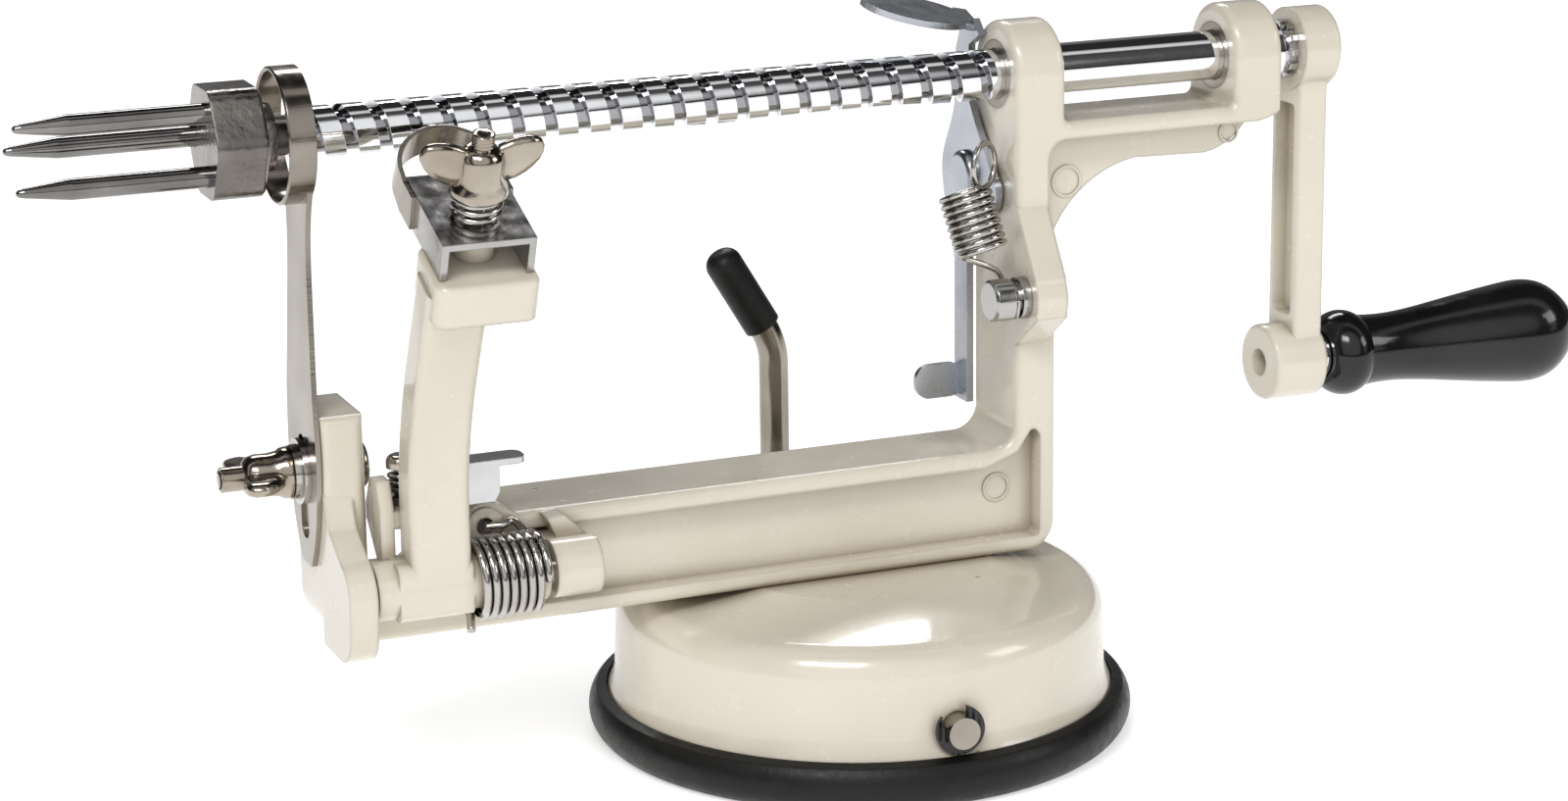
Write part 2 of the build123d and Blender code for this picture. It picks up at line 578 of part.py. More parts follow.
def make_wing_nut(name, plane, base_r, dome_r, bore_r, spread):
    """Cast wing nut standing on a plane: conical foot, round body and two rising wings along local x."""
    with BuildPart() as nut:
        with BuildSketch(Plane(origin=plane.origin, x_dir=plane.x_dir, z_dir=plane.x_dir.cross(plane.z_dir))):
            with BuildLine():
                Polyline((bore_r, 0), (base_r, 0), (base_r * 0.94, 3.6), (dome_r * 0.8, 4.2))
                ThreePointArc((dome_r * 0.8, 4.2), (dome_r * 0.96, 6.6), (dome_r * 0.6, 9.2))
                Polyline((dome_r * 0.6, 9.2), (bore_r, 9.2), (bore_r, 0))
            make_face()
        revolve(axis=Axis(plane.origin, plane.z_dir))
        wing_plane = Plane(origin=plane.origin, x_dir=plane.x_dir, z_dir=plane.x_dir.cross(plane.z_dir))
        with BuildSketch(wing_plane.offset(-1.3)) as wings:
            for side in (1, -1):
                with BuildLine():
                    Polyline(
                        (side * (bore_r + 0.8), 4.4),
                        (side * dome_r * 0.95, 4.2),
                        (side * (spread + 2.4), 10.6),
                        (side * (spread - 0.4), 13.6),
                        (side * dome_r * 0.7, 8.8),
                        (side * (bore_r + 0.8), 8.6),
                        close=True,
                    )
                make_face()
        extrude(amount=2.6)
        tips = nut.edges().filter_by(lambda edge: abs(edge.length - 2.6) < 0.01)
        fillet(tips.sort_by_distance(plane.origin)[-4:], 1.2)
    save(nut.part, name)


def head_plane(along_y, above=0.0):
    """Plane on the arm's tilted head: local x is +X, normal leaves the head's top face."""
    tilt = radians(ARM_TILT)
    x, y, z = HEAD_ORIGIN
    origin = (x, y + along_y * cos(tilt) - above * sin(tilt), z + along_y * sin(tilt) + above * cos(tilt))
    return Plane(origin=origin, x_dir=(1, 0, 0), z_dir=(0, -sin(tilt), cos(tilt)))


def make_peeling_arm():
    """Curved cast arm on a hub tube, with the ear for its latch and a tilted head for the blade."""
    bar_x = (-98.4, -86.9)
    bar_depth = 9.0
    bend_z = 60.0
    with BuildPart() as peeling_arm:
        rod_x(-104.9, -72, ARM_HUB_R, ARM_PIVOT_Y, ARM_PIVOT_Z)
        with BuildSketch(yz_plane(-101)) as foot:
            with Locations((ARM_PIVOT_Y, ARM_PIVOT_Z)):
                Rectangle(10.8, 10.8)
            fillet(foot.vertices(), 2.4)
        extrude(amount=14.1)
        # the bar: straight up, then leaning towards the front
        top = head_plane(0, -3.5).origin
        path_line = [(ARM_PIVOT_Y - 0.9, ARM_PIVOT_Z), (ARM_PIVOT_Y - 0.9, bend_z)]
        with BuildLine(yz_plane(0)) as path:
            lower = Line(path_line[0], path_line[1])
            Spline(
                path_line[1],
                (ARM_PIVOT_Y - 3.6, 76),
                (top.Y, top.Z),
                tangents=[(0, 1), (-sin(radians(ARM_TILT + 4)), cos(radians(ARM_TILT + 4)))],
            )
        with BuildSketch(Plane.XY.offset(ARM_PIVOT_Z)):
            with Locations(((bar_x[0] + bar_x[1]) / 2, ARM_PIVOT_Y - 0.9)):
                RectangleRounded(bar_x[1] - bar_x[0], bar_depth, 1.8)
        sweep(path=path.wires()[0])
        # head block
        with BuildSketch(head_plane(0, -8.2)):
            RectangleRounded(19, 15, 2.4)
        extrude(amount=8.2)
        fillet(peeling_arm.edges().group_by(Axis(head_plane(0).origin, head_plane(0).z_dir))[-1], 1)
        # boss under the bracket, around the screw
        with BuildSketch(head_plane(4)):
            Circle(3.9)
        extrude(amount=4.6)
        with BuildSketch(head_plane(4, 5)):
            Circle(2.0)
        extrude(amount=-12, mode=Mode.SUBTRACT)
        # ear behind the bar for the latch screw
        with BuildSketch(Plane.XY.offset(56.4)):
            with Locations((-97.05, -11.4)):
                Rectangle(9.9, 9.4)
        extrude(amount=3.4)
        with BuildSketch(yz_plane(-102)):
            with BuildLine():
                Polyline((-7, 56.4), (-7, 60), (-10, 65.2), (-14.2, 65.2), (-16.2, 60), (-16.2, 50))
                Line((-16.2, 50), (-12.9, 50))
                Line((-12.9, 50), (-7, 56.4))
            make_face()
        extrude(amount=2.6)
        with BuildSketch(Plane.XY.offset(55)):
            with Locations((LATCH_X, LATCH_Y)):
                Circle(LATCH_SCREW_R + 0.05)
        extrude(amount=10, mode=Mode.SUBTRACT)
        bore_x(-106, -71, ARM_PIN_R + RUNNING_GAP, ARM_PIVOT_Y, ARM_PIVOT_Z)
    save(peeling_arm.part, "peeling_arm")

    with BuildPart() as arm_pivot_pin:
        rod_x(UPRIGHT_X + 1.8, -61.8, ARM_PIN_R, ARM_PIVOT_Y, ARM_PIVOT_Z)
    save(arm_pivot_pin.part, "arm_pivot_pin")

    with BuildPart() as torsion_spring:
        coil = Helix(
            pitch=TORSION_PITCH,
            height=TORSION_PITCH * TORSION_TURNS,
            radius=TORSION_MEAN_R,
            center=(-85.7, ARM_PIVOT_Y, ARM_PIVOT_Z),
            direction=(1, 0, 0),
        )
        with BuildSketch(Plane(origin=coil @ 0, z_dir=coil % 0)):
            Circle(TORSION_WIRE_R)
        sweep(path=coil, is_frenet=True)
    save(torsion_spring.part, "torsion_spring")


def make_latch():
    """Spring-loaded vertical screw through the arm's ear, and the bent latch lever that it holds."""
    with BuildPart() as latch_screw:
        with BuildSketch(Plane.XY.offset(56.6)):
            with Locations((LATCH_X, LATCH_Y)):
                Circle(LATCH_SCREW_R)
        extrude(amount=10.6)
        with BuildSketch(Plane.XY.offset(66.6)):
            with Locations((LATCH_X, LATCH_Y)):
                Circle(2.9)
        extrude(amount=2.4)
        fillet(latch_screw.faces().sort_by(Axis.Z)[-1].edges(), 1.4)
    save(latch_screw.part, "latch_screw")

    with BuildPart() as latch_spring:
        coil = Helix(pitch=1.28, height=4.0, radius=2.35, center=(LATCH_X, LATCH_Y, 61.9), direction=(0, 0, 1))
        with BuildSketch(Plane(origin=coil @ 0, z_dir=coil % 0)):
            Circle(0.45)
        sweep(path=coil, is_frenet=True)
    save(latch_spring.part, "latch_spring")

    with BuildPart() as latch_lever:
        with BuildSketch(Plane.XY.offset(60.1)):
            with Locations((LATCH_X, LATCH_Y)):
                Circle(3.0)
            with Locations(((LATCH_X - 78) / 2, LATCH_Y)):
                Rectangle(-78 - LATCH_X, 5.4)
            with Locations((LATCH_X, LATCH_Y)):
                Circle(LATCH_SCREW_R + RUNNING_GAP, mode=Mode.SUBTRACT)
        extrude(amount=1.2)
        with BuildSketch(xz_plane(LATCH_Y - 1.5)):
            with BuildLine():
                Polyline((-84.6, 58.4), (-79, 58.4), (-78, 60.2), (-78, 66.4), (-84.6, 66.4), close=True)
            make_face()
        extrude(amount=1.2)
        with BuildSketch(Plane.XY.offset(65.2)) as tab:
            with Locations((-78.6, LATCH_Y + 0.2)):
                RectangleRounded(12, 5.8, 2)
        extrude(amount=1.2)
    save(latch_lever.part, "latch_lever")


def make_blade():
    """U-bracket on the arm's head, the hooped peeling blade riveted to it, and its sprung screw."""
    back = 18.0
    front = back - BRACKET_LENGTH
    middle = (back + front) / 2
    with BuildPart() as blade_bracket:
        with BuildSketch(head_plane(middle, BRACKET_HEIGHT - BRACKET_SHEET)):
            Rectangle(2 * BRACKET_HALF_WIDTH, BRACKET_LENGTH)
        extrude(amount=BRACKET_SHEET)
        for side in (1, -1):
            with BuildSketch(head_plane(middle, 0.05)):
                with Locations((side * (BRACKET_HALF_WIDTH - BRACKET_SHEET / 2), 0)):
                    Rectangle(BRACKET_SHEET, BRACKET_LENGTH)
            extrude(amount=BRACKET_HEIGHT - 0.05)
        with BuildSketch(head_plane(4, BRACKET_HEIGHT + 1)):
            Circle(2.3)
        extrude(amount=-3, mode=Mode.SUBTRACT)
    save(blade_bracket.part, "blade_bracket")

    outer = BRACKET_HALF_WIDTH + BLADE_SHEET
    lap = 6.5
    kink = head_plane(back)
    rise = radians(ARM_TILT + HOOP_RISE)
    loop_plane = Plane(origin=kink.origin, x_dir=(1, 0, 0), z_dir=(0, -sin(rise), cos(rise)))
    arc_y = HOOP_REACH - outer
    with BuildPart() as blade_hoop:
        with BuildSketch(loop_plane.offset(0.6)):
            with BuildLine():
                Line((-outer, -0.6), (-outer, arc_y))
                ThreePointArc((-outer, arc_y), (0, arc_y + outer), (outer, arc_y))
                Polyline(
                    (outer, arc_y),
                    (outer, -0.6),
                    (BRACKET_HALF_WIDTH, -0.6),
                    (BRACKET_HALF_WIDTH, arc_y),
                )
                ThreePointArc(
                    (BRACKET_HALF_WIDTH, arc_y),
                    (0, arc_y + BRACKET_HALF_WIDTH),
                    (-BRACKET_HALF_WIDTH, arc_y),
                )
                Polyline((-BRACKET_HALF_WIDTH, arc_y), (-BRACKET_HALF_WIDTH, -0.6), (-outer, -0.6))
            make_face()
        extrude(amount=HOOP_WIDTH)
        with BuildSketch(head_plane(back - lap / 2, 0.6)):
            for side in (1, -1):
                with Locations((side * (BRACKET_HALF_WIDTH + BLADE_SHEET / 2), 0)):
                    Rectangle(BLADE_SHEET, lap)
        extrude(amount=HOOP_WIDTH)
    save(blade_hoop.part, "blade_hoop")

    with BuildPart() as bracket_screw:
        with BuildSketch(head_plane(4, -6.5)):
            Circle(1.95)
        extrude(amount=6.5 + BRACKET_HEIGHT + 12.5)
    save(bracket_screw.part, "bracket_screw")

    spring_base = head_plane(4, BRACKET_HEIGHT + 0.55)
    with BuildPart() as bracket_spring:
        coil = Helix(pitch=1.5, height=3.9, radius=4.1, center=spring_base.origin, direction=spring_base.z_dir)
        with BuildSketch(Plane(origin=coil @ 0, z_dir=coil % 0)):
            Circle(0.5)
        sweep(path=coil, is_frenet=True)
    save(bracket_spring.part, "bracket_spring")

    make_wing_nut("blade_wing_nut", head_plane(4, BRACKET_HEIGHT + 5.1), 5.2, 5.6, 1.98, 9)


def make_release_lever():
    """Stamped half-nut lever behind the shaft: tooth in the thread, thumb tab on top, finger tab below."""
    with BuildPart() as release_lever:
        with BuildSketch(yz_plane(LEVER_X)):
            with BuildLine():
                Polyline((9.2, 59.8), (9.2, 96), (-1, 100.5))
                ThreePointArc((-1, 100.5), (-4.2, 103.6), (-2.8, 107.6))
                Polyline((-2.8, 107.6), (5.4, 117.6), (8.2, 121.6), (8.2, 132.6), (3.6, 135.2), (6.4, 138.0))
                Polyline((6.4, 138.0), (11.5, 137), (14.2, 131), (14.6, 121))
                Spline((14.6, 121), (17.4, 114.4), (20.6, 107.5), (19.6, 100.5), (14.9, 88))
                Polyline((14.9, 88), (14.9, 59.8), (9.2, 59.8))
            make_face()
            with Locations((-0.6, 104.6)):
                Circle(1.3, mode=Mode.SUBTRACT)
            with Locations((LEVER_PIVOT_Y, LEVER_PIVOT_Z)):
                Circle(2.2 + RUNNING_GAP, mode=Mode.SUBTRACT)
        extrude(amount=LEVER_SHEET)
        # tooth that rides in the thread groove
        tooth_x = LEVER_X + (LEVER_SHEET - TOOTH_THICKNESS) / 2
        with BuildSketch(yz_plane(tooth_x)):
            with Locations((6.2, SHAFT_Z)):
                Rectangle(4.6, 2.6)
            with Locations((0, SHAFT_Z)):
                Circle(SHAFT_R - THREAD_DEPTH + 0.45, mode=Mode.SUBTRACT)
        extrude(amount=TOOTH_THICKNESS)
        # thumb tab, leaning up towards the fork
        tab_angle = radians(13)
        tab_roll = radians(16)
        tab_plane = Plane(
            origin=(LEVER_X + 0.6, 9.5, 136.6),
            x_dir=(-cos(tab_angle), 0, sin(tab_angle)),
            z_dir=(sin(tab_angle) * cos(tab_roll), -sin(tab_roll), cos(tab_angle) * cos(tab_roll)),
        )
        with BuildSketch(tab_plane) as thumb:
            with Locations((0.9, 0)):
                Rectangle(3, 8)
            with Locations((12.2, 0.4)):
                Ellipse(11.6, 6.2)
        extrude(amount=1.3)
        # finger tab at the bottom
        with BuildSketch(xz_plane(14.9)) as finger:
            with Locations((LEVER_X - 3.9, 63.6)):
                RectangleRounded(10.4, 7, 3)
        extrude(amount=1.3)
    save(release_lever.part, "release_lever")

    with BuildPart() as lever_rivet:
        rod_x(LEVER_X - 1.7, LEVER_X - 0.12, 4.9, LEVER_PIVOT_Y, LEVER_PIVOT_Z)
        fillet(lever_rivet.faces().sort_by(Axis.X)[0].edges(), 1.2)
        rod_x(LEVER_X - 0.2, POST_X + 4.8, 2.2, LEVER_PIVOT_Y, LEVER_PIVOT_Z)
    save(lever_rivet.part, "lever_rivet")

    with BuildPart() as spring_stud:
        rod_x(22.4, POST_X, 4.1, SPRING_STUD_Y, SPRING_STUD_Z)
        chamfer(spring_stud.faces().sort_by(Axis.X)[0].edges(), 0.5)
        with BuildSketch(yz_plane(26.6)) as groove:
            with Locations((SPRING_STUD_Y, SPRING_STUD_Z)):
                Circle(6)
                Circle(3.1, mode=Mode.SUBTRACT)
        extrude(amount=1.5, mode=Mode.SUBTRACT)
        rod_x(POST_X, POST_X + 4.8, 2.2, SPRING_STUD_Y, SPRING_STUD_Z)
    save(spring_stud.part, "spring_stud")

    spring_top = Vector(20.6, -5.8, 106.3)
    spring_foot = Vector(22.6, -9.4, 95.2)
    with BuildPart() as lever_spring:
        axis = spring_foot - spring_top
        coil = Helix(pitch=axis.length / 7, height=axis.length, radius=4.6, center=spring_top, direction=axis)
        with BuildSketch(Plane(origin=coil @ 0, z_dir=coil % 0)):
            Circle(0.65)
        sweep(path=coil, is_frenet=True)
    save(lever_spring.part, "lever_spring")


def cam_plane(along):
    """Plane across the cam shaft, `along` millimetres behind the base's centre line."""
    turn = radians(CAM_ANGLE)
    origin = (CAM_X + along * sin(turn), along * cos(turn), CAM_Z)
    return Plane(origin=origin, x_dir=(cos(turn), -sin(turn), 0), z_dir=(sin(turn), cos(turn), 0))


def make_base():
    """Enamelled dome over a rubber pad, with the cam shaft, plunger and lever that pull the pad up."""
    with BuildPart() as base_shell:
        with BuildSketch(Plane.XZ):
            with BuildLine():
                Polyline((0, SHELL_TOP), (26, SHELL_TOP), (42.6, SHELL_TOP - 3.1))
                ThreePointArc((42.6, SHELL_TOP - 3.1), (46.6, SHELL_TOP - 5), (48.3, SHELL_TOP - 8.8))
                Line((48.3, SHELL_TOP - 8.8), (SHELL_WALL_R, 14.5))
                ThreePointArc((SHELL_WALL_R, 14.5), (49.1, 11.2), (SHELL_FOOT_R, SHELL_BOTTOM + 2.2))
                Line((SHELL_FOOT_R, SHELL_BOTTOM + 2.2), (SHELL_FOOT_R, SHELL_BOTTOM))
                Line((SHELL_FOOT_R, SHELL_BOTTOM), (SHELL_WALL_R - SHELL_THICKNESS, SHELL_BOTTOM))
                Line((SHELL_WALL_R - SHELL_THICKNESS, SHELL_BOTTOM), (46.7, SHELL_TOP - 9))
                ThreePointArc((46.7, SHELL_TOP - 9), (45.2, SHELL_TOP - 6.2), (42.2, SHELL_TOP - 4.9))
                Polyline((42.2, SHELL_TOP - 4.9), (26, SHELL_TOP - 2), (0, SHELL_TOP - 2), (0, SHELL_TOP))
            make_face()
        revolve(axis=Axis.Z)
        with BuildSketch(cam_plane(-60)):
            Circle(CAM_SHAFT_R + RUNNING_GAP)
        extrude(amount=120, mode=Mode.SUBTRACT)
        for screw_x in (-14, 14):
            with BuildSketch(Plane.XY.offset(SHELL_TOP - 4)):
                with Locations((screw_x, 0)):
                    Circle(2.1)
            extrude(amount=6, mode=Mode.SUBTRACT)
    save(base_shell.part, "base_shell")

    with BuildPart() as suction_pad:
        with BuildSketch(Plane.XZ):
            with BuildLine():
                Line((0, 0), (PAD_R - 2.4, 0))
                ThreePointArc((PAD_R - 2.4, 0), (PAD_R, 3.6), (PAD_R - 1.5, PAD_RIM_HEIGHT - 0.6))
                Polyline(
                    (PAD_R - 1.5, PAD_RIM_HEIGHT - 0.6),
                    (SHELL_FOOT_R + 0.05, PAD_RIM_HEIGHT),
                    (SHELL_FOOT_R + 0.05, SHELL_BOTTOM - 0.05),
                    (44, SHELL_BOTTOM - 0.05),
                    (42, PAD_THICKNESS),
                    (0, PAD_THICKNESS),
                    (0, 0),
                )
            make_face()
        revolve(axis=Axis.Z)
    save(suction_pad.part, "suction_pad")

    with BuildPart() as pad_plunger:
        with BuildSketch(Plane.XY.offset(PAD_THICKNESS + 0.3)):
            Circle(12)
        extrude(amount=1.6)
        yoke_half = 8.6
        with BuildSketch(cam_plane(-3)):
            Rectangle(2 * yoke_half + 3, 2 * yoke_half + 2.4)
            Rectangle(2 * yoke_half, 2 * yoke_half - 0.6, mode=Mode.SUBTRACT)
        extrude(amount=6)
    save(pad_plunger.part, "pad_plunger")

    with BuildPart() as suction_cam:
        with BuildSketch(cam_plane(-2.6)):
            with Locations((0, -1.2)):
                Circle(4.9)
            Circle(CAM_SHAFT_R, mode=Mode.SUBTRACT)
        extrude(amount=5.2)
    save(suction_cam.part, "suction_cam")

    with BuildPart() as cam_clip:
        with BuildSketch(cam_plane(CAM_FRONT + 2.1)):
            Circle(4.85)
            Circle(CAM_SHAFT_R + 0.02, mode=Mode.SUBTRACT)
            with Locations((-1.2, -5)):
                Rectangle(5, 8, mode=Mode.SUBTRACT)
        extrude(amount=0.8)
    save(cam_clip.part, "cam_clip")

    # one bent rod: the cam shaft runs back, turns up behind the base and leans towards the fork
    front = cam_plane(CAM_FRONT).origin
    back = cam_plane(LEVER_Y - LEVER_ELBOW_R).origin
    along = cam_plane(0).z_dir
    up = Vector(0, 0, 1)
    elbow_top = back + (along + up) * LEVER_ELBOW_R
    elbow_middle = back + along * LEVER_ELBOW_R * sin(pi / 4) + up * LEVER_ELBOW_R * (1 - cos(pi / 4))
    bend_foot = Vector(elbow_top.X, elbow_top.Y, LEVER_BEND_Z)
    lean = radians(LEVER_LEAN)
    bend_middle = bend_foot + LEVER_BEND_R * Vector(cos(lean / 2) - 1, 0, sin(lean / 2))
    bend_top = bend_foot + LEVER_BEND_R * Vector(cos(lean) - 1, 0, sin(lean))
    cap_dir = Vector(-sin(lean), 0, cos(lean))
    rod_end = bend_top + cap_dir * 8
    with BuildPart() as suction_lever:
        with BuildLine() as path:
            Line(front, back)
            ThreePointArc(back, elbow_middle, elbow_top)
            Line(elbow_top, bend_foot)
            ThreePointArc(bend_foot, bend_middle, bend_top)
            Line(bend_top, rod_end)
        with BuildSketch(cam_plane(CAM_FRONT)):
            Circle(CAM_SHAFT_R)
        sweep(path=path.wires()[0])
    save(suction_lever.part, "suction_lever")

    with BuildPart() as lever_cap:
        with BuildSketch(Plane(origin=rod_end - cap_dir * 7.6, z_dir=cap_dir)):
            Circle(3.9)
        extrude(amount=19)
        fillet(lever_cap.faces().sort_by(Axis(rod_end, cap_dir))[-1].edges(), 3)
        with BuildSketch(Plane(origin=rod_end - cap_dir * 7.6, z_dir=cap_dir)):
            Circle(CAM_SHAFT_R)
        extrude(amount=7.6, mode=Mode.SUBTRACT)
    save(lever_cap.part, "lever_cap")

    with BuildPart() as base_screws:
        for screw_x in (-14, 14):
            with BuildSketch(Plane.XY.offset(SHELL_TOP - 4)):
                with Locations((screw_x, 0)):
                    Circle(4)
            extrude(amount=2)
            with BuildSketch(Plane.XY.offset(SHELL_TOP - 3)):
                with Locations((screw_x, 0)):
                    Circle(2.05)
            extrude(amount=13)
    save(base_screws.part, "base_screws")


if __name__ == "__main__":
    os.makedirs("parts", exist_ok=True)
    make_frame_casting()
    make_shaft_bushes()
    make_screw_shaft()
    make_thrust_collar()
    make_serrated_collar()
    make_crank()
    make_fork()
    make_corer()
    make_peeling_arm()
    make_latch()
    make_blade()
    make_release_lever()
    make_base()
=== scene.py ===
import bmesh
import bpy
import math
from mathutils import Matrix, Vector


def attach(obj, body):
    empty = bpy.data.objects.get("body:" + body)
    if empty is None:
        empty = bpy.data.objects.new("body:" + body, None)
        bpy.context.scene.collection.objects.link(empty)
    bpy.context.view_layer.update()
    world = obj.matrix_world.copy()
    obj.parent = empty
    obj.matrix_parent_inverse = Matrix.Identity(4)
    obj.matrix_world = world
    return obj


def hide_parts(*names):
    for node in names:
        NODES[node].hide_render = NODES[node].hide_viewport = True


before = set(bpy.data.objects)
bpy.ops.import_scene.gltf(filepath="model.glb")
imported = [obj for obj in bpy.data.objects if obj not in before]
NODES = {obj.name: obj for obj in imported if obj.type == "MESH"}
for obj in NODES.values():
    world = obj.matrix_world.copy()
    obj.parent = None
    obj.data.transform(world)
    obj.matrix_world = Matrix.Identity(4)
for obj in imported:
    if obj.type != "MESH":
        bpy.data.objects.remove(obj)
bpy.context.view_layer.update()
MM = 0.001

# ---------------------------------------------------------------- layout, millimetres, same frame as the CAD
SHAFT_Z = 128.0
ARM_PIVOT = Vector((0, -18.4, 45.8))
ARM_TILT = math.radians(22)
HEAD = Vector((-88.3, -37.8, 109.7))
HEAD_BACK = Vector((0, math.cos(ARM_TILT), math.sin(ARM_TILT)))
HEAD_UP = Vector((0, -math.sin(ARM_TILT), math.cos(ARM_TILT)))
X = Vector((1, 0, 0))
Y = Vector((0, 1, 0))
Z = Vector((0, 0, 1))


def head_point(x, back, up):
    return HEAD + X * x + HEAD_BACK * back + HEAD_UP * up


# ---------------------------------------------------------------- camera
camera_data = bpy.data.cameras.new("camera")
camera = bpy.data.objects.new("camera", camera_data)
bpy.context.scene.collection.objects.link(camera)
bpy.context.scene.camera = camera
camera_data.sensor_width = 36.0
camera_data.lens = 84.66
camera_data.clip_start = 0.05
camera_data.clip_end = 30.0
azimuth, drop, roll = math.radians(22.38), math.radians(14.96), math.radians(-0.78)
look = Vector((math.sin(azimuth) * math.cos(drop), math.cos(azimuth) * math.cos(drop), -math.sin(drop)))
right = Vector((math.cos(azimuth), -math.sin(azimuth), 0))
up = right.cross(look)
right_rolled = right * math.cos(roll) + up * math.sin(roll)
up_rolled = up * math.cos(roll) - right * math.sin(roll)
turn = Matrix((right_rolled, up_rolled, -look)).transposed()
camera.matrix_world = Matrix.Translation((-0.27906, -0.64030, 0.25235)) @ turn.to_4x4()


# ---------------------------------------------------------------- material tools
class Shader:
    """A Principled material and short calls that add nodes to it."""

    def __init__(self, name):
        self.material = bpy.data.materials.new(name)
        self.material.use_nodes = True
        self.nodes = self.material.node_tree.nodes
        self.links = self.material.node_tree.links
        self.bsdf = self.nodes["Principled BSDF"]
        self.coord = self.nodes.new("ShaderNodeTexCoord").outputs["Object"]
        self.normal = None

    def set(self, **values):
        for key, value in values.items():
            self.bsdf.inputs[key.replace("_", " ")].default_value = value

    def stretched(self, scale):
        mapping = self.nodes.new("ShaderNodeMapping")
        mapping.inputs["Scale"].default_value = scale
        self.links.new(self.coord, mapping.inputs["Vector"])
        return mapping.outputs["Vector"]

    def noise(self, scale, detail=3.0, rough=0.55, vector=None, distortion=0.0):
        node = self.nodes.new("ShaderNodeTexNoise")
        node.inputs["Scale"].default_value = scale
        node.inputs["Detail"].default_value = detail
        node.inputs["Roughness"].default_value = rough
        node.inputs["Distortion"].default_value = distortion
        self.links.new(vector or self.coord, node.inputs["Vector"])
        return node.outputs["Fac"]

    def ramp(self, source, stops, smooth=False):
        node = self.nodes.new("ShaderNodeValToRGB")
        node.color_ramp.interpolation = "EASE" if smooth else "LINEAR"
        elements = node.color_ramp.elements
        while len(elements) < len(stops):
            elements.new(0.5)
        for element, (place, colour) in zip(elements, stops):
            element.position = place
            element.color = (*colour, 1) if len(colour) == 3 else colour
        self.links.new(source, node.inputs["Fac"])
        return node.outputs["Color"]

    def grey(self, source, low, high, start=0.0, end=1.0):
        node = self.nodes.new("ShaderNodeMapRange")
        node.inputs["From Min"].default_value = start
        node.inputs["From Max"].default_value = end
        node.inputs["To Min"].default_value = low
        node.inputs["To Max"].default_value = high
        self.links.new(source, node.inputs["Value"])
        return node.outputs["Result"]

    def mix(self, factor, a, b, kind="MIX"):
        node = self.nodes.new("ShaderNodeMix")
        node.data_type = "RGBA"
        node.blend_type = kind
        for socket, value in ((node.inputs["Factor"], factor), (node.inputs["A"], a), (node.inputs["B"], b)):
            if isinstance(value, bpy.types.NodeSocket):
                self.links.new(value, socket)
            elif isinstance(value, (tuple, list)):
                socket.default_value = (*value, 1)
            else:
                socket.default_value = value
        return node.outputs["Result"]

    def math(self, kind, a, b=0.0):
        node = self.nodes.new("ShaderNodeMath")
        node.operation = kind
        for socket, value in zip(node.inputs, (a, b)):
            if isinstance(value, bpy.types.NodeSocket):
                self.links.new(value, socket)
            else:
                socket.default_value = value
        return node.outputs["Value"]

    def axis(self, letter):
        node = self.nodes.new("ShaderNodeSeparateXYZ")
        self.links.new(self.coord, node.inputs[0])
        return node.outputs[letter]

    def crevice(self, distance):
        node = self.nodes.new("ShaderNodeAmbientOcclusion")
        node.inputs["Distance"].default_value = distance
        node.samples = 6
        return node.outputs["AO"]

    def soft_edges(self, radius):
        node = self.nodes.new("ShaderNodeBevel")
        node.samples = 4
        node.inputs["Radius"].default_value = radius
        self.normal = node.outputs["Normal"]

    def bump(self, height, strength, distance):
        node = self.nodes.new("ShaderNodeBump")
        node.inputs["Strength"].default_value = strength
        node.inputs["Distance"].default_value = distance
        self.links.new(height, node.inputs["Height"])
        if self.normal:
            self.links.new(self.normal, node.inputs["Normal"])
        self.normal = node.outputs["Normal"]

    def done(self, colour=None, roughness=None):
        if colour is not None:
            self.links.new(colour, self.bsdf.inputs["Base Color"])
        if roughness is not None:
            self.links.new(roughness, self.bsdf.inputs["Roughness"])
        if self.normal:
            self.links.new(self.normal, self.bsdf.inputs["Normal"])
        return self.material


def cream_enamel():
    """Powder-coated casting: warm cream, glossy, with orange peel, painted shade darkening its corners and
    rare pinholes.
    """
    s = Shader("cream_enamel")
    s.set(Coat_Weight=0.55, Coat_Roughness=0.06, IOR=1.5)
    cloud = s.noise(38, 3)
    tone = s.ramp(cloud, [(0.3, (0.665, 0.610, 0.505)), (0.7, (0.715, 0.665, 0.565))])
    # painted shade: ambient occlusion darkens corners and crevices towards warm brown
    crevice_shade = s.grey(s.crevice(0.0035), 0.0, 1.0, 0.25, 0.95)
    tone = s.mix(crevice_shade, (0.36, 0.30, 0.22), tone)
    pits = s.grey(s.noise(210, 1, 0.3), 0.0, 1.0, 0.205, 0.195)
    tone = s.mix(s.math("MULTIPLY", pits, 0.7), tone, (0.20, 0.15, 0.10))
    rough = s.grey(s.noise(150, 4), 0.17, 0.30, 0.3, 0.7)
    s.soft_edges(0.0011)
    s.bump(s.noise(65, 2), 0.12, 0.0012)
    s.bump(s.noise(900, 3), 0.05, 0.0004)
    return s.done(tone, rough)


def metal(
    name,
    dark,
    light,
    rough_low,
    rough_high,
    grain=None,
    edge=0.0,
    grain_strength=0.15,
    cloud_scale=70.0,
):
    """Bare or plated metal with cloudy tone, uneven polish and, if asked, drawn grain."""
    s = Shader(name)
    s.set(Metallic=1.0)
    cloud = s.noise(cloud_scale, 4)
    tone = s.ramp(cloud, [(0.32, dark), (0.68, light)])
    rough = s.grey(s.noise(cloud_scale * 4, 5), rough_low, rough_high, 0.3, 0.7)
    if edge:
        s.soft_edges(edge)
    if grain:
        s.bump(s.noise(1, 3, 0.6, s.stretched(grain)), grain_strength, 0.0002)
    return s, tone, rough


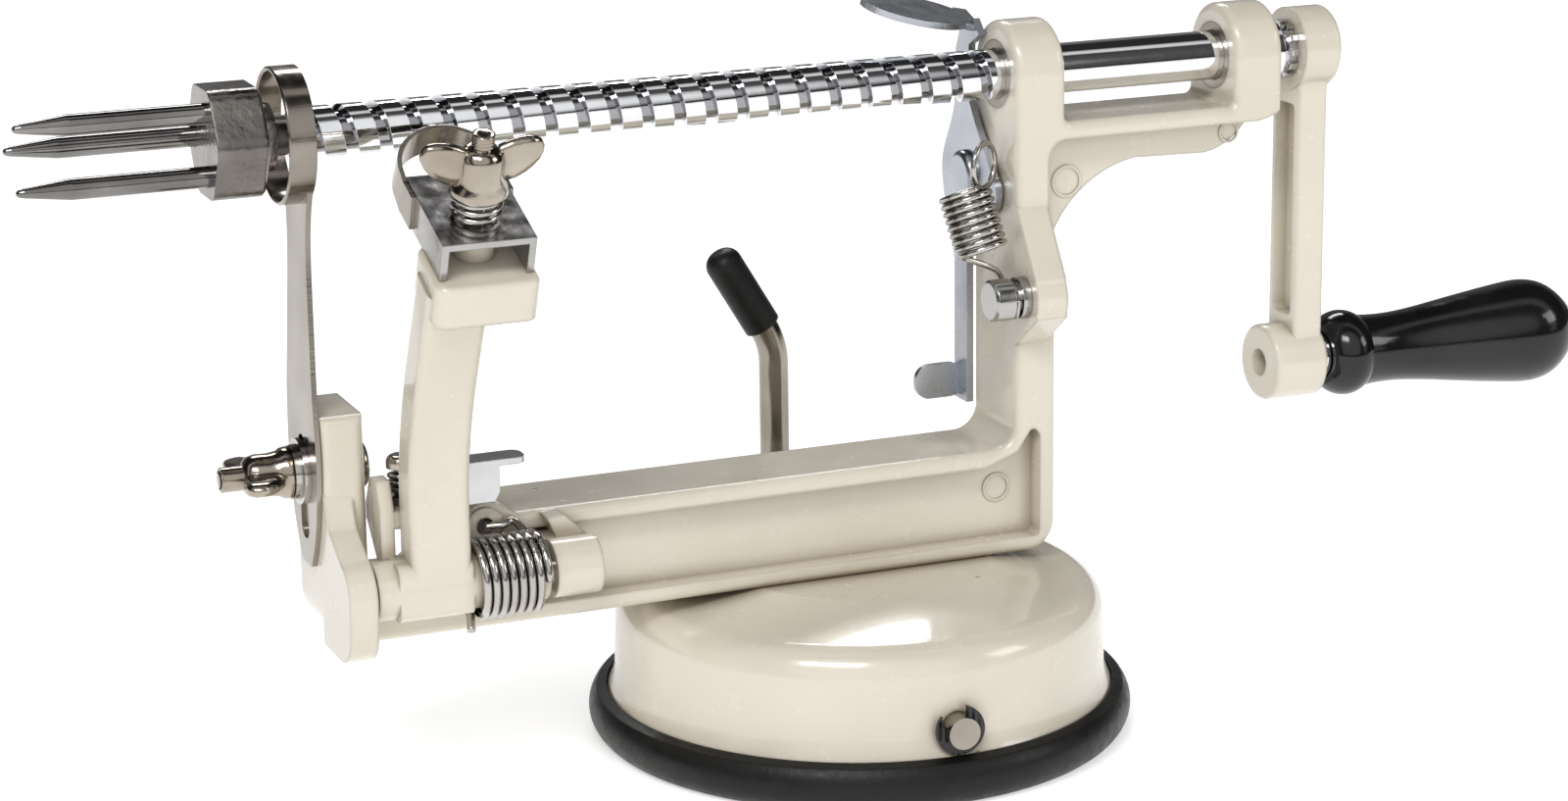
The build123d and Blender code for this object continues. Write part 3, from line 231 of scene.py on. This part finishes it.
def chrome_shaft():
    s, tone, rough = metal("chrome_shaft", (0.80, 0.81, 0.83), (0.90, 0.91, 0.93), 0.03, 0.075, edge=0.00015)
    film = s.grey(s.noise(260, 5), 0.0, 0.35, 0.55, 0.8)
    tone = s.mix(film, tone, (0.60, 0.57, 0.53))
    # painted shade: inside the thread's outer radius, left of x = 30 mm, the grooves are darkened towards
    # near black
    height = s.math("SUBTRACT", s.axis("Z"), SHAFT_Z * MM)
    square = s.math("ADD", s.math("MULTIPLY", height, height), s.math("MULTIPLY", s.axis("Y"), s.axis("Y")))
    depth = s.grey(s.math("SQRT", square), 1.0, 0.0, 0.0041, 0.00475)
    groove_shade = s.math("MULTIPLY", depth, s.grey(s.axis("X"), 1.0, 0.0, 0.029, 0.031))
    tone = s.mix(s.math("MULTIPLY", groove_shade, 0.8), tone, (0.20, 0.20, 0.215))
    s.bump(s.noise(330, 2), 0.03, 0.0002)
    return s.done(tone, rough)


def bright_plate():
    s, tone, rough = metal("bright_plate", (0.50, 0.50, 0.51), (0.64, 0.64, 0.65), 0.06, 0.16, edge=0.0003)
    s.bump(s.noise(240, 2), 0.05, 0.0003)
    return s.done(tone, rough)


def dark_polish():
    """Polished nickel on the prongs: mirror-like with a dark body."""
    s, tone, rough = metal(
        "dark_polish", (0.17, 0.165, 0.16), (0.28, 0.27, 0.26), 0.06, 0.13, (60, 700, 700), 0.0, 0.06,
    )
    return s.done(tone, rough)


def cast_nickel():
    """Rough-cast, nickel-plated zinc: pitted skin under the plating."""
    s, tone, rough = metal("cast_nickel", (0.17, 0.155, 0.145), (0.28, 0.26, 0.24), 0.14, 0.30, edge=0.0005)
    s.bump(s.noise(620, 4, 0.6), 0.30, 0.0004)
    s.bump(s.noise(160, 2), 0.25, 0.0006)
    return s.done(tone, rough)


def warm_nickel():
    """Wing nuts and screws: bright plating with a warm tint."""
    s, tone, rough = metal("warm_nickel", (0.34, 0.295, 0.245), (0.47, 0.42, 0.36), 0.07, 0.18, edge=0.0004)
    s.bump(s.noise(300, 3), 0.18, 0.0004)
    # painted shade: ambient occlusion darkens crevices towards dark brown
    crevice_shade = s.grey(s.crevice(0.002), 0.0, 1.0, 0.15, 0.9)
    tone = s.mix(crevice_shade, (0.16, 0.12, 0.09), tone)
    return s.done(tone, rough)


def blade_steel():
    """Thin polished sheet with a brownish cast and fine drawn lines."""
    s, tone, rough = metal(
        "blade_steel",
        (0.24, 0.21, 0.18),
        (0.36, 0.325, 0.285),
        0.12,
        0.24,
        (90, 90, 1400),
        0.0002,
        0.10,
    )
    return s.done(tone, rough)


def bracket_steel():
    s, tone, rough = metal(
        "bracket_steel",
        (0.36, 0.35, 0.34),
        (0.52, 0.51, 0.50),
        0.12,
        0.26,
        (1500, 120, 120),
        0.0003,
        0.10,
    )
    return s.done(tone, rough)


def lever_steel():
    """Zinc-plated stamping, bluish grey, with fine streaked grain."""
    s, tone, rough = metal("lever_steel", (0.40, 0.42, 0.46), (0.52, 0.54, 0.58), 0.22, 0.36, edge=0.0002)
    s.bump(s.noise(1, 3, 0.6, s.stretched((200, 900, 160))), 0.10, 0.0002)
    return s.done(tone, rough)


def spring_steel():
    s, tone, rough = metal("spring_steel", (0.40, 0.38, 0.36), (0.58, 0.56, 0.53), 0.10, 0.22, edge=0.0)
    # painted shade: ambient occlusion darkens crevices and the gaps between coils towards near black
    crevice_shade = s.grey(s.crevice(0.0012), 0.0, 1.0, 0.1, 0.8)
    tone = s.mix(crevice_shade, (0.07, 0.055, 0.04), tone)
    s.bump(s.noise(1500, 3), 0.05, 0.0001)
    return s.done(tone, rough)


def satin_rod():
    s, tone, rough = metal(
        "satin_rod", (0.26, 0.235, 0.20), (0.38, 0.345, 0.30), 0.14, 0.24, (700, 700, 60), 0.0, 0.10,
    )
    return s.done(tone, rough)


def sintered_bronze():
    s, tone, rough = metal("sintered_bush", (0.30, 0.27, 0.23), (0.44, 0.40, 0.35), 0.30, 0.48, edge=0.0004)
    s.bump(s.noise(1800, 3), 0.2, 0.0002)
    return s.done(tone, rough)


def black_gloss():
    """Moulded handle: deep gloss with shallow turned rings by the bead."""
    s = Shader("black_gloss")
    s.set(IOR=1.48)
    tone = s.ramp(s.noise(60, 3), [(0.3, (0.004, 0.004, 0.005)), (0.7, (0.009, 0.009, 0.010))])
    rough = s.grey(s.noise(320, 5), 0.10, 0.20, 0.35, 0.7)
    rings = s.math("SINE", s.math("MULTIPLY", s.axis("X"), 5200.0))
    near = s.grey(s.axis("X"), 1.0, 0.0, 0.0985, 0.1015)
    s.bump(s.math("MULTIPLY", rings, near), 0.35, 0.0004)
    s.bump(s.noise(90, 2), 0.04, 0.0006)
    return s.done(tone, rough)


def black_rubber():
    """Moulded rubber: nearly black, dull, with fine grain and scattered dust specks."""
    s = Shader("black_rubber")
    s.set(IOR=1.36)
    tone = s.ramp(s.noise(120, 4), [(0.35, (0.004, 0.004, 0.004)), (0.75, (0.009, 0.0085, 0.008))])
    dust = s.grey(s.noise(900, 4), 0.0, 0.22, 0.64, 0.78)
    tone = s.mix(dust, tone, (0.04, 0.037, 0.033))
    rough = s.grey(s.noise(400, 4), 0.34, 0.50, 0.3, 0.7)
    s.soft_edges(0.0006)
    s.bump(s.noise(1400, 3), 0.22, 0.0003)
    return s.done(tone, rough)


MATERIALS = {
    "cream": cream_enamel(),
    "chrome": chrome_shaft(),
    "plate": bright_plate(),
    "prong": dark_polish(),
    "hub": cast_nickel(),
    "nickel": warm_nickel(),
    "blade": blade_steel(),
    "bracket": bracket_steel(),
    "lever": lever_steel(),
    "spring": spring_steel(),
    "rod": satin_rod(),
    "bush": sintered_bronze(),
    "black": black_gloss(),
    "rubber": black_rubber(),
}

NODE_MATERIALS = {
    "cream": ("frame_casting", "base_shell", "crank_arm", "peeling_arm"),
    "chrome": ("screw_shaft", "handle_stud", "handle_washer", "thrust_collar"),
    "plate": ("latch_lever", "serrated_collar"),
    "prong": ("fork_prongs",),
    "hub": ("fork_hub",),
    "nickel": ("corer_bolt", "bracket_screw", "latch_screw", "corer_wing_nut", "blade_wing_nut"),
    "blade": ("blade_hoop", "corer_blade"),
    "bracket": ("blade_bracket", "spring_stud"),
    "lever": ("release_lever", "lever_rivet"),
    "spring": (
        "torsion_spring",
        "lever_spring",
        "bracket_spring",
        "latch_spring",
        "corer_spring_washer",
        "corer_flat_washer",
    ),
    "rod": ("suction_lever", "arm_pivot_pin", "suction_cam", "pad_plunger", "base_screws"),
    "bush": ("left_shaft_bush", "right_shaft_bush"),
    "black": ("handle_grip", "cam_clip"),
    "rubber": ("suction_pad", "lever_cap"),
}
for key, names in NODE_MATERIALS.items():
    for node in names:
        slots = NODES[node].data.materials
        slots.clear()
        slots.append(MATERIALS[key])


# ---------------------------------------------------------------- pieces in mesh code, millimetres
CORER_NUT = Vector((-114.4, 0, 65.0))
CORER_WINGS = Vector((0, 1, 0))
# how far out along a wing, then how much its width and its thickness shrink there
WING_SECTIONS = (
    (0.0, 1.0, 1.0),
    (0.18, 1.0, 1.0),
    (0.36, 1.0, 1.0),
    (0.54, 1.0, 1.0),
    (0.70, 1.0, 1.0),
    (0.84, 0.93, 1.0),
    (0.94, 0.74, 0.75),
    (1.0, 0.34, 0.35),
)
NODE_BODIES = {
    "torsion_spring": "frame",
    "lever_spring": "frame",
    "corer_wing_nut": "corer_nut",
    "blade_wing_nut": "blade_nut",
}


def add_piece(name, mesh_points, faces, node, slot, material, smooth=True):
    """Turns points in millimetres and faces into an object that stands in for a CAD node."""
    mesh = bpy.data.meshes.new(name)
    mesh.from_pydata([Vector(p) * MM for p in mesh_points], [], faces)
    bm = bmesh.new()
    bm.from_mesh(mesh)
    bmesh.ops.recalc_face_normals(bm, faces=bm.faces)
    bm.to_mesh(mesh)
    bm.free()
    for polygon in mesh.polygons:
        polygon.use_smooth = smooth
    mesh.materials.append(MATERIALS[material])
    piece = bpy.data.objects.new(name, mesh)
    bpy.context.scene.collection.objects.link(piece)
    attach(piece, NODE_BODIES[node])
    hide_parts(node)
    return piece


def tube(points, radius, sides=14):
    """Sweeps a circle along a line of points; returns points and faces, closed at both ends."""
    points = [Vector(p) for p in points]
    rings, faces = [], []
    forward = (points[1] - points[0]).normalized()
    side = forward.orthogonal().normalized()
    last = len(points) - 1
    for index, point in enumerate(points):
        ahead = points[min(index + 1, last)] - points[max(index - 1, 0)]
        turned = forward.rotation_difference(ahead.normalized())
        side = (turned @ side).normalized()
        forward = ahead.normalized()
        across = forward.cross(side)
        for step in range(sides):
            angle = 2 * math.pi * step / sides
            rings.append(point + (side * math.cos(angle) + across * math.sin(angle)) * radius)
    for index in range(last):
        for step in range(sides):
            a, b = index * sides + step, index * sides + (step + 1) % sides
            faces.append((a, b, b + sides, a + sides))
    faces.append(tuple(reversed(range(sides))))
    faces.append(tuple(last * sides + step for step in range(sides)))
    return rings, faces


def lathe(profile, origin, along, sides=48):
    """Turns (distance along, radius) pairs about a line; both ends close on the line."""
    along = Vector(along).normalized()
    side = along.orthogonal().normalized()
    across = along.cross(side)
    points, faces = [], []
    for travel, radius in profile:
        for step in range(sides):
            angle = 2 * math.pi * step / sides
            offset = (side * math.cos(angle) + across * math.sin(angle)) * radius
            points.append(Vector(origin) + along * travel + offset)
    for index in range(len(profile) - 1):
        for step in range(sides):
            a, b = index * sides + step, index * sides + (step + 1) % sides
            faces.append((a, b, b + sides, a + sides))
    faces.append(tuple(reversed(range(sides))))
    faces.append(tuple((len(profile) - 1) * sides + step for step in range(sides)))
    return points, faces


def loft(sections):
    """Joins equal-length rings of points; closed at both ends."""
    count = len(sections[0])
    points = [p for section in sections for p in section]
    faces = []
    for index in range(len(sections) - 1):
        for step in range(count):
            a, b = index * count + step, index * count + (step + 1) % count
            faces.append((a, b, b + count, a + count))
    faces.append(tuple(reversed(range(count))))
    faces.append(tuple((len(sections) - 1) * count + step for step in range(count)))
    return points, faces


def joined(*parts):
    points, faces = [], []
    for part_points, part_faces in parts:
        start = len(points)
        points.extend(part_points)
        faces.extend(tuple(i + start for i in face) for face in part_faces)
    return points, faces


def coil(start, end, radius, turns, phase=0.0, steps=40):
    """Centre line of a helix from start to end."""
    start, end = Vector(start), Vector(end)
    along = (end - start).normalized()
    side = (Z - along * Z.dot(along)).normalized()
    across = along.cross(side)
    count = int(turns * steps)
    line = []
    for index in range(count + 1):
        share = index / count
        angle = phase + 2 * math.pi * turns * share
        line.append(
            start + (end - start) * share + (side * math.cos(angle) + across * math.sin(angle)) * radius,
        )
    return line


def eased(points, steps=8):
    """Catmull-Rom line through a few points."""
    points = [Vector(p) for p in points]
    padded = [points[0] * 2 - points[1]] + points + [points[-1] * 2 - points[-2]]
    line = []
    for index in range(1, len(padded) - 2):
        p0, p1, p2, p3 = padded[index - 1 : index + 3]
        for step in range(steps):
            t = step / steps
            line.append(
                (
                    p1 * 2
                    + (p2 - p0) * t
                    + (p0 * 2 - p1 * 5 + p2 * 4 - p3) * t * t
                    + (p1 * 3 - p0 - p2 * 3 + p3) * t**3
                )
                * 0.5
            )
    line.append(points[-1])
    return line


def torsion_spring():
    """Eight coils round the arm's pivot; one leg hooks into the ear, the other rests under the arm."""
    wire = 0.8
    turns = 7.75
    coils = coil((-86.2, ARM_PIVOT.y, ARM_PIVOT.z), (-72.9, ARM_PIVOT.y, ARM_PIVOT.z), 7.0, turns, math.pi)
    end = coils[-1]
    leg = eased(
        [
            end,
            end + Vector((0.2, 2.2, 2.6)),
            (-74.6, -12.4, 53.4),
            (-77.4, -11.6, 53.2),
            (-80.3, -10.6, 53.0),
        ],
    )
    start = coils[0]
    other = eased([start + Vector((-0.6, -2.0, -2.4)), start])
    line = other[:-1] + coils + leg[1:]
    return add_piece("torsion_spring_wire", *tube(line, wire), "torsion_spring", "spring_steel", "spring")


def lever_spring():
    """Extension spring between the release lever and its stud, with an eye at each end."""
    top, bottom = Vector((20.6, -5.8, 106.3)), Vector((22.6, -9.4, 95.2))
    coils = coil(top, bottom, 4.75, 8.25, 0.4)
    eye = Vector((24.9, -5.6, 112.7)) - Vector((0, 0, 1.6))
    ring = [
        eye + Vector((4.4 * math.cos(a) * 0.8, 4.4 * math.cos(a) * 0.6, 4.4 * math.sin(a)))
        for a in [math.radians(-100 + 330 * i / 44) for i in range(45)]
    ]
    upper = eased([ring[0], (ring[0] + coils[0]) / 2 + Vector((-0.6, 0, 0.2)), coils[0]], 6)
    low = coils[-1]
    hook = eased(
        [
            low,
            (25.4, -9.6, 91.2),
            (27.2, -9.6, 87.6),
            (27.4, -11.2, 83.2),
            (27.4, -14.8, 83.0),
            (27.4, -16.2, 86.4),
        ],
    )
    line = list(reversed(ring[1:])) + upper[:-1] + coils + hook[1:]
    return add_piece("lever_spring_wire", *tube(line, 0.62), "lever_spring", "spring_steel", "spring")


def screw_end(origin, along, start, end, radius):
    """Threaded stub: a lathe with a sawtooth profile."""
    profile = [(start, radius * 0.86)]
    travel = start
    while travel < end - 0.7:
        profile += [(travel + 0.18, radius), (travel + 0.34, radius), (travel + 0.55, radius * 0.84)]
        travel += 0.7
    profile += [(end - 0.15, radius * 0.84), (end, radius * 0.6)]
    return lathe(profile, origin, along, 28)


def wing_nut(name, node, origin, along, wing_dir, base_r, waist_r, height, wing_reach, wing_rise, screw):
    """Cast wing nut: round foot, waist, domed top, and two flat flared wings."""
    origin, along, wing_dir = Vector(origin), Vector(along).normalized(), Vector(wing_dir).normalized()
    thick_dir = along.cross(wing_dir)
    body = lathe(
        [
            (0.0, base_r * 0.80),
            (0.0, base_r * 0.97),
            (0.35, base_r),
            (1.5, base_r * 0.97),
            (2.3, waist_r * 1.06),
            (height * 0.45, waist_r),
            (height * 0.72, waist_r * 1.02),
            (height * 0.88, waist_r * 0.92),
            (height * 0.97, waist_r * 0.70),
            (height, waist_r * 0.52),
        ],
        origin,
        along,
    )
    parts = [body, screw_end(origin, along, height - 0.5, height + screw, 2.0)]
    for side in (1, -1):
        sections = []
        for share, taper, thinning in WING_SECTIONS:
            out = waist_r * 0.35 + (wing_reach - waist_r * 0.35) * share
            rise = height * 0.50 + wing_rise * share**1.25
            width = 2.3 + 1.5 * math.sin(math.pi * min(share * 1.05, 1.0) ** 0.8)
            width *= taper
            thick = 1.35 * thinning
            slope = math.atan2(wing_rise * 1.1, wing_reach)
            across = along * math.cos(slope) - wing_dir * side * math.sin(slope)
            centre = origin + wing_dir * side * out + along * rise
            ring = []
            for step in range(20):
                angle = 2 * math.pi * step / 20
                c, t = math.cos(angle), math.sin(angle)
                c = math.copysign(abs(c) ** 0.7, c)
                t = math.copysign(abs(t) ** 0.7, t)
                ring.append(centre + across * width * c + thick_dir * thick * t)
            sections.append(ring)
        parts.append(loft(sections))
    return add_piece(name, *joined(*parts), node, "cast_nickel", "nickel")


torsion_spring()
lever_spring()
wing_nut(
    "blade_nut_cast",
    "blade_wing_nut",
    head_point(0, 4, 12.3),
    HEAD_UP,
    X,
    5.2,
    4.1,
    9.2,
    11.0,
    4.6,
    3.0,
)
wing_nut("corer_nut_cast", "corer_wing_nut", CORER_NUT, -X, CORER_WINGS, 4.9, 4.0, 9.0, 11.0, 4.4, 4.4)
# ---------------------------------------------------------------- floor and light
def floor_material():
    s = Shader("floor")
    s.set(Roughness=0.62, IOR=1.3, Emission_Color=(1, 1, 1, 1), Emission_Strength=0.55)
    tone = s.ramp(s.noise(3, 3), [(0.3, (0.86, 0.86, 0.855)), (0.7, (0.88, 0.88, 0.875))])
    return s.done(tone)


floor_mesh = bpy.data.meshes.new("floor")
reach = 6.0
floor_mesh.from_pydata(
    [(-reach, -reach, 0), (reach, -reach, 0), (reach, reach, 0), (-reach, reach, 0)], [], [(0, 1, 2, 3)]
)
floor = bpy.data.objects.new("floor", floor_mesh)
bpy.context.scene.collection.objects.link(floor)
floor.location.z = -0.0004
floor_mesh.materials.append(floor_material())


def softbox(name, place, target, size, power, tint=(1, 1, 1)):
    data = bpy.data.lights.new(name, "AREA")
    data.shape = "RECTANGLE"
    data.size, data.size_y = size
    data.energy = power
    data.color = tint
    light = bpy.data.objects.new(name, data)
    bpy.context.scene.collection.objects.link(light)
    light.location = place
    direction = Vector(target) - Vector(place)
    light.rotation_euler = direction.to_track_quat("-Z", "Y").to_euler()
    return light


softbox("key", (-0.75, -0.95, 1.35), (0, 0, 0.08), (0.8, 0.4), 13)
softbox("fill", (1.2, -0.9, 0.8), (0, 0, 0.08), (0.5, 0.5), 3.5)
softbox("back", (0.3, 1.3, 1.3), (0, 0, 0.08), (1.0, 0.25), 9)

# room: dark overhead and behind, a bright wide panel in front of the object, dark line at the horizon
world = bpy.data.worlds.new("studio")
bpy.context.scene.world = world
world.use_nodes = True
wn, wl = world.node_tree.nodes, world.node_tree.links
direction = wn.new("ShaderNodeTexCoord").outputs["Generated"]


def world_ramp(source, stops):
    node = wn.new("ShaderNodeValToRGB")
    while len(node.color_ramp.elements) < len(stops):
        node.color_ramp.elements.new(0.5)
    for element, (place, level) in zip(node.color_ramp.elements, stops):
        element.position = place
        element.color = (level, level, level, 1)
    wl.new(source, node.inputs["Fac"])
    return node.outputs["Color"]


facing = wn.new("ShaderNodeVectorMath")
facing.operation = "DOT_PRODUCT"
facing.inputs[1].default_value = (-0.25, -0.85, 0.46)
wl.new(direction, facing.inputs[0])
halved = wn.new("ShaderNodeMath")
halved.operation = "MULTIPLY_ADD"
halved.inputs[1].default_value = 0.5
halved.inputs[2].default_value = 0.5
wl.new(facing.outputs["Value"], halved.inputs[0])
panel = world_ramp(
    halved.outputs["Value"],
    [
        (0.0, 0.22),
        (0.22, 0.22),
        (0.34, 0.03),
        (0.66, 0.03),
        (0.70, 0.70),
        (0.76, 0.95),
        (0.79, 0.06),
        (0.87, 0.10),
        (0.91, 1.1),
    ],
)
split = wn.new("ShaderNodeSeparateXYZ")
wl.new(direction, split.inputs[0])
horizon = world_ramp(split.outputs["Z"], [(0.0, 0.05), (0.05, 0.06), (0.09, 1.0), (1.0, 1.0)])
product = wn.new("ShaderNodeMix")
product.data_type = "RGBA"
product.blend_type = "MULTIPLY"
product.inputs["Factor"].default_value = 1.0
wl.new(panel, product.inputs["A"])
wl.new(horizon, product.inputs["B"])
wl.new(product.outputs["Result"], wn["Background"].inputs["Color"])
wn["Background"].inputs["Strength"].default_value = 0.80
bpy.context.scene.view_settings.view_transform = "Standard"
